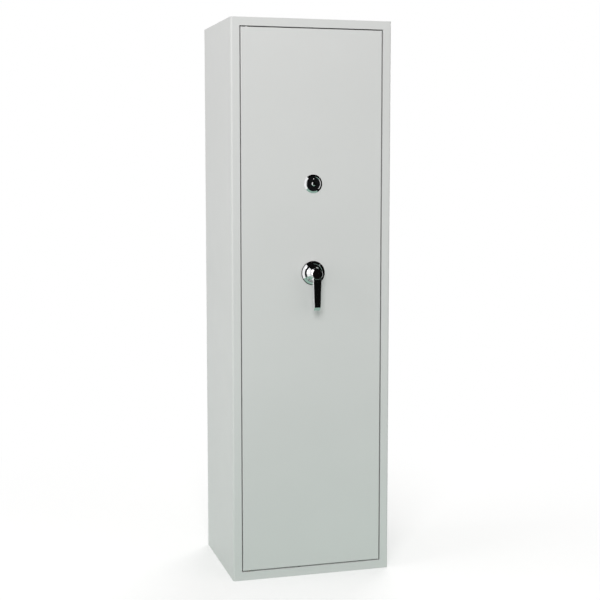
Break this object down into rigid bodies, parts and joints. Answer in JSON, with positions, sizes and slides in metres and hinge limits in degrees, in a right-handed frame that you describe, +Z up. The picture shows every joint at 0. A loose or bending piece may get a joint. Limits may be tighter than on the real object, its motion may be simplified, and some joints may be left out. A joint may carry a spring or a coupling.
{
  "type": "gun safe",
  "caption": "Tall narrow steel gun safe with an inset door on hidden pivots, a round key lock and a chrome lever that throws side bolts and rods.",
  "frame": {"origin": "centre of the base, on the floor", "axes": "+Z up, +X to the right of someone facing the door, -Y out of the door's front"},
  "size_m": [0.44, 0.383, 1.5],
  "materials": {
    "powder_coat": "semi-gloss light grey powder coat",
    "chrome": "polished",
    "black": "satin black",
    "white_enamel": "white enamel fill",
    "steel": "bright turned steel",
    "zinc": "zinc plated",
    "bronze": "plain bearing bronze",
    "foam": "matt closed-cell foam",
    "mat": "ribbed rubber mat"
  },
  "bodies": {
    "cabinet": {"left_side_panel": "powder_coat", "right_side_panel": "powder_coat", "top_panel": "powder_coat", "floor_panel": "powder_coat", "back_panel": "powder_coat", "upper_hinge_pin": "steel", "lower_hinge_pin": "steel", "hinge_thrust_washer": "bronze", "top_shelf": "powder_coat", "shelf_bracket_left": "powder_coat", "shelf_bracket_right": "powder_coat", "rack_bracket_left": "powder_coat", "rack_bracket_right": "powder_coat", "barrel_rack": "powder_coat", "barrel_rack_foam": "foam", "floor_mat": "mat"},
    "door": {"door_pan": "powder_coat", "door_cover": "powder_coat", "cover_posts": "steel", "cover_screws": "zinc", "door_stiffener": "steel", "upper_hinge_bush": "bronze", "lower_hinge_bush": "bronze", "upper_hinge_plate": "steel", "lower_hinge_plate": "steel", "handle_rosette": "chrome", "rosette_screws": "zinc", "spindle_bush": "bronze", "lock_escutcheon": "chrome", "lock_face": "black", "index_mark": "white_enamel", "rosette_seat_ring": "black", "lock_hard_plate": "steel", "lock_case": "zinc", "lock_case_screws": "zinc", "carriage_studs": "zinc", "top_rod_guides": "steel", "bottom_rod_guides": "steel"},
    "lever": {"lever_handle": "chrome", "handle_spindle": "steel", "spindle_screw": "zinc", "cam_disc": "zinc", "cam_pins": "steel"},
    "bolts": {"bolt_carriage": "zinc", "side_bolts": "steel"},
    "upper_rod": {"top_rod": "zinc"},
    "lower_rod": {"bottom_rod": "zinc"},
    "plug": {"key_plug": "chrome"},
    "blocker": {"lock_blocker": "steel"}
  },
  "joints": [
    {"name": "door_hinge", "type": "hinge", "parent": "cabinet", "child": "door", "pos_m": [-0.1765, -0.16052, 0.75075], "axis": [0, 0, -1], "range_deg": [0, 110]},
    {"name": "lever_turn", "type": "hinge", "parent": "door", "child": "lever", "pos_m": [0.0025, -0.162, 0.831], "axis": [0, -1, 0], "range_deg": [0, 90]},
    {"name": "bolt_slide", "type": "slide", "parent": "door", "child": "bolts", "axis": [1, 0, 0], "range_m": [0, 0.02263]},
    {"name": "top_rod_slide", "type": "slide", "parent": "door", "child": "upper_rod", "axis": [0, 0, 1], "range_m": [0, 0.02263]},
    {"name": "bottom_rod_slide", "type": "slide", "parent": "door", "child": "lower_rod", "axis": [0, 0, -1], "range_m": [0, 0.02263]},
    {"name": "key_turn", "type": "hinge", "parent": "door", "child": "plug", "pos_m": [0.0025, -0.166, 1.069], "axis": [0, 1, 0], "range_deg": [0, 90]},
    {"name": "blocker_slide", "type": "slide", "parent": "door", "child": "blocker", "axis": [0, 0, -1], "range_m": [0, 0.01]}
  ],
  "couplings": [
    {"joint": "lever_turn", "follows": "bolt_slide", "rad_per_m": 69.417},
    {"joint": "top_rod_slide", "follows": "bolt_slide", "ratio": 1},
    {"joint": "bottom_rod_slide", "follows": "bolt_slide", "ratio": 1},
    {"joint": "key_turn", "follows": "blocker_slide", "rad_per_m": 157.09}
  ]
}
